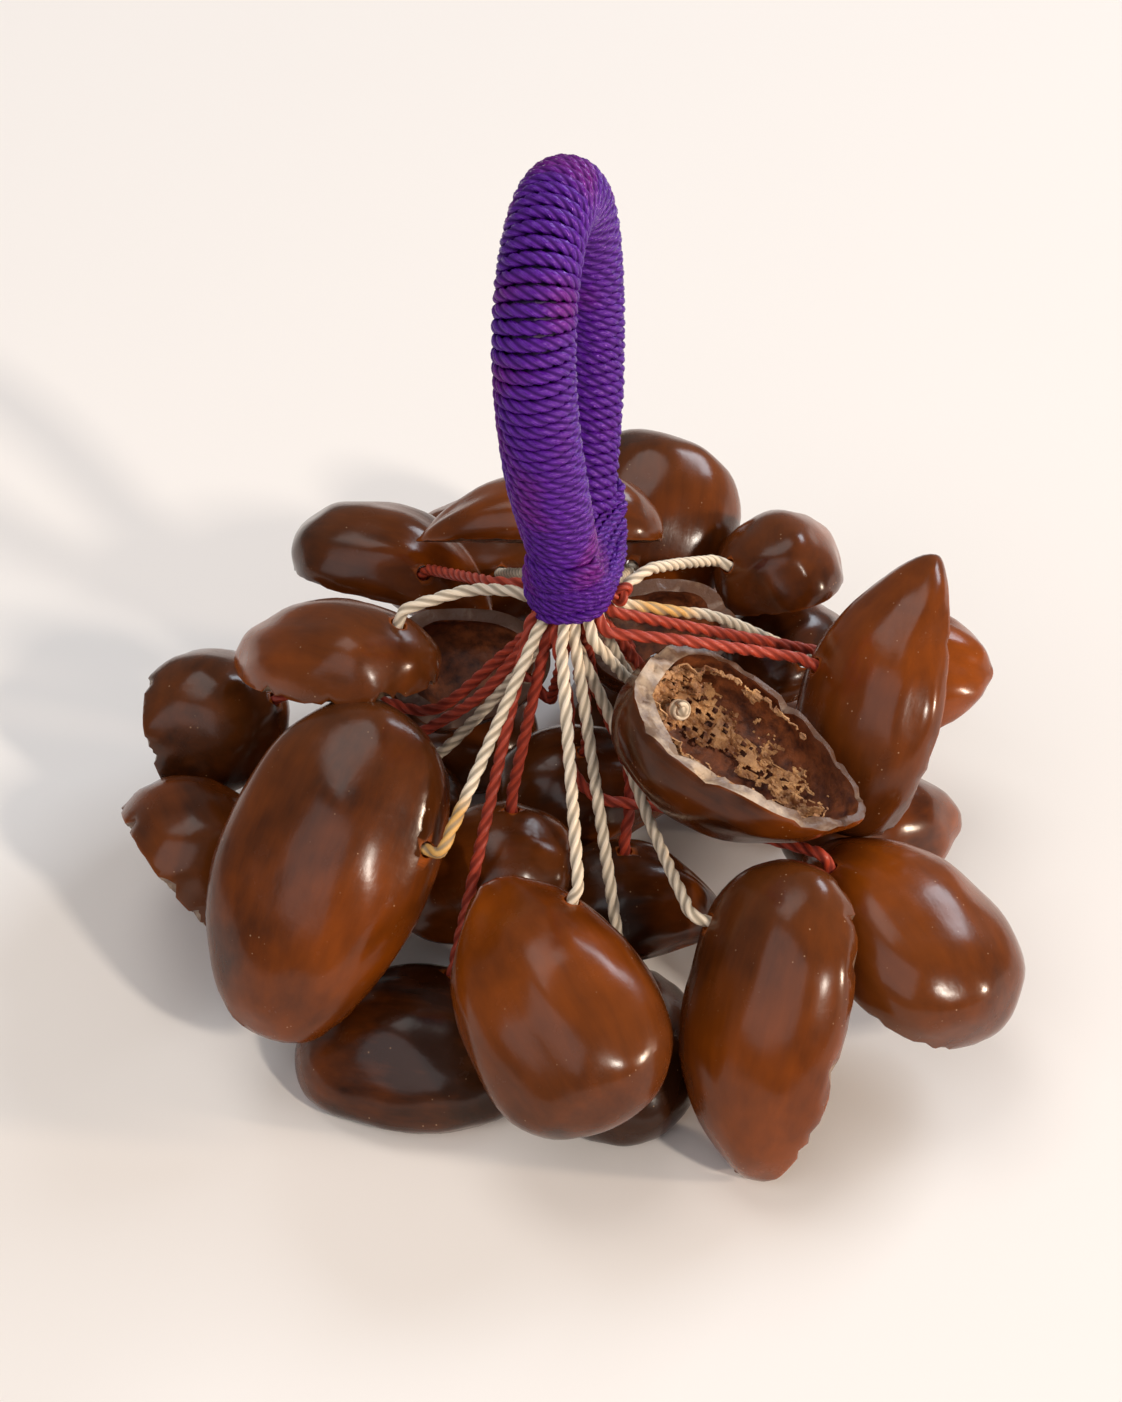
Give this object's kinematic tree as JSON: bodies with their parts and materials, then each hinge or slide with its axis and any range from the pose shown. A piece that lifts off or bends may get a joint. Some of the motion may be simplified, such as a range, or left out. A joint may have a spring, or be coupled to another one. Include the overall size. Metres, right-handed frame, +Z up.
{
  "type": "seed shaker",
  "caption": "Hand seed shaker with a cord-wound loop handle over a bundle of red and cream cords, each ending in a hollow half-cut brown seed shell.",
  "frame": {"origin": "middle of the shaker's box at the floor it stands on, the hanging cords left out", "axes": "+Z up through the collar and the loop handle, -Y toward the near side of the picture, +X to its right"},
  "size_m": [0.1504, 0.1483, 0.142],
  "materials": {
    "polished_shell": "glossy dark brown seed shell",
    "red_cord": "twisted red-brown cord",
    "cream_cord": "twisted cream cord",
    "purple_cord": "glossy twisted purple cord",
    "core_rope": "plain rope, hidden by the winding"
  },
  "bodies": {
    "root": {"collar_winding": "purple_cord", "cord_back_centre": "cream_cord", "cord_back_far": "cream_cord", "cord_back_left": "red_cord", "cord_back_low_left": "red_cord", "cord_back_low_right": "cream_cord", "cord_back_right": "cream_cord", "cord_far_right": "red_cord", "cord_front_centre": "cream_cord", "cord_front_left_large": "cream_cord", "cord_front_left_low": "red_cord", "cord_front_low": "cream_cord", "cord_front_right": "cream_cord", "cord_inner_back": "red_cord", "cord_inner_front": "red_cord", "cord_inner_left": "red_cord", "cord_inner_low": "red_cord", "cord_inner_right": "red_cord", "cord_left_high": "cream_cord", "cord_left_low": "cream_cord", "cord_left_pointed": "red_cord", "cord_left_upper": "red_cord", "cord_open_centre": "cream_cord", "cord_right_back": "cream_cord", "cord_right_behind": "cream_cord", "cord_right_front": "red_cord", "cord_right_low": "red_cord", "cord_right_tall": "red_cord", "cord_right_under": "cream_cord", "handle_core": "core_rope", "handle_winding": "purple_cord", "shell_back_centre": "polished_shell", "shell_back_far": "polished_shell", "shell_back_left": "polished_shell", "shell_back_low_left": "polished_shell", "shell_back_low_right": "polished_shell", "shell_back_right": "polished_shell", "shell_far_right": "polished_shell", "shell_front_centre": "polished_shell", "shell_front_left_large": "polished_shell", "shell_front_left_low": "polished_shell", "shell_front_low": "polished_shell", "shell_front_right": "polished_shell", "shell_inner_back": "polished_shell", "shell_inner_front": "polished_shell", "shell_inner_left": "polished_shell", "shell_inner_low": "polished_shell", "shell_inner_right": "polished_shell", "shell_left_high": "polished_shell", "shell_left_low": "polished_shell", "shell_left_pointed": "polished_shell", "shell_left_upper": "polished_shell", "shell_open_centre": "polished_shell", "shell_right_back": "polished_shell", "shell_right_behind": "polished_shell", "shell_right_front": "polished_shell", "shell_right_low": "polished_shell", "shell_right_tall": "polished_shell", "shell_right_under": "polished_shell"}
  },
  "joints": []
}
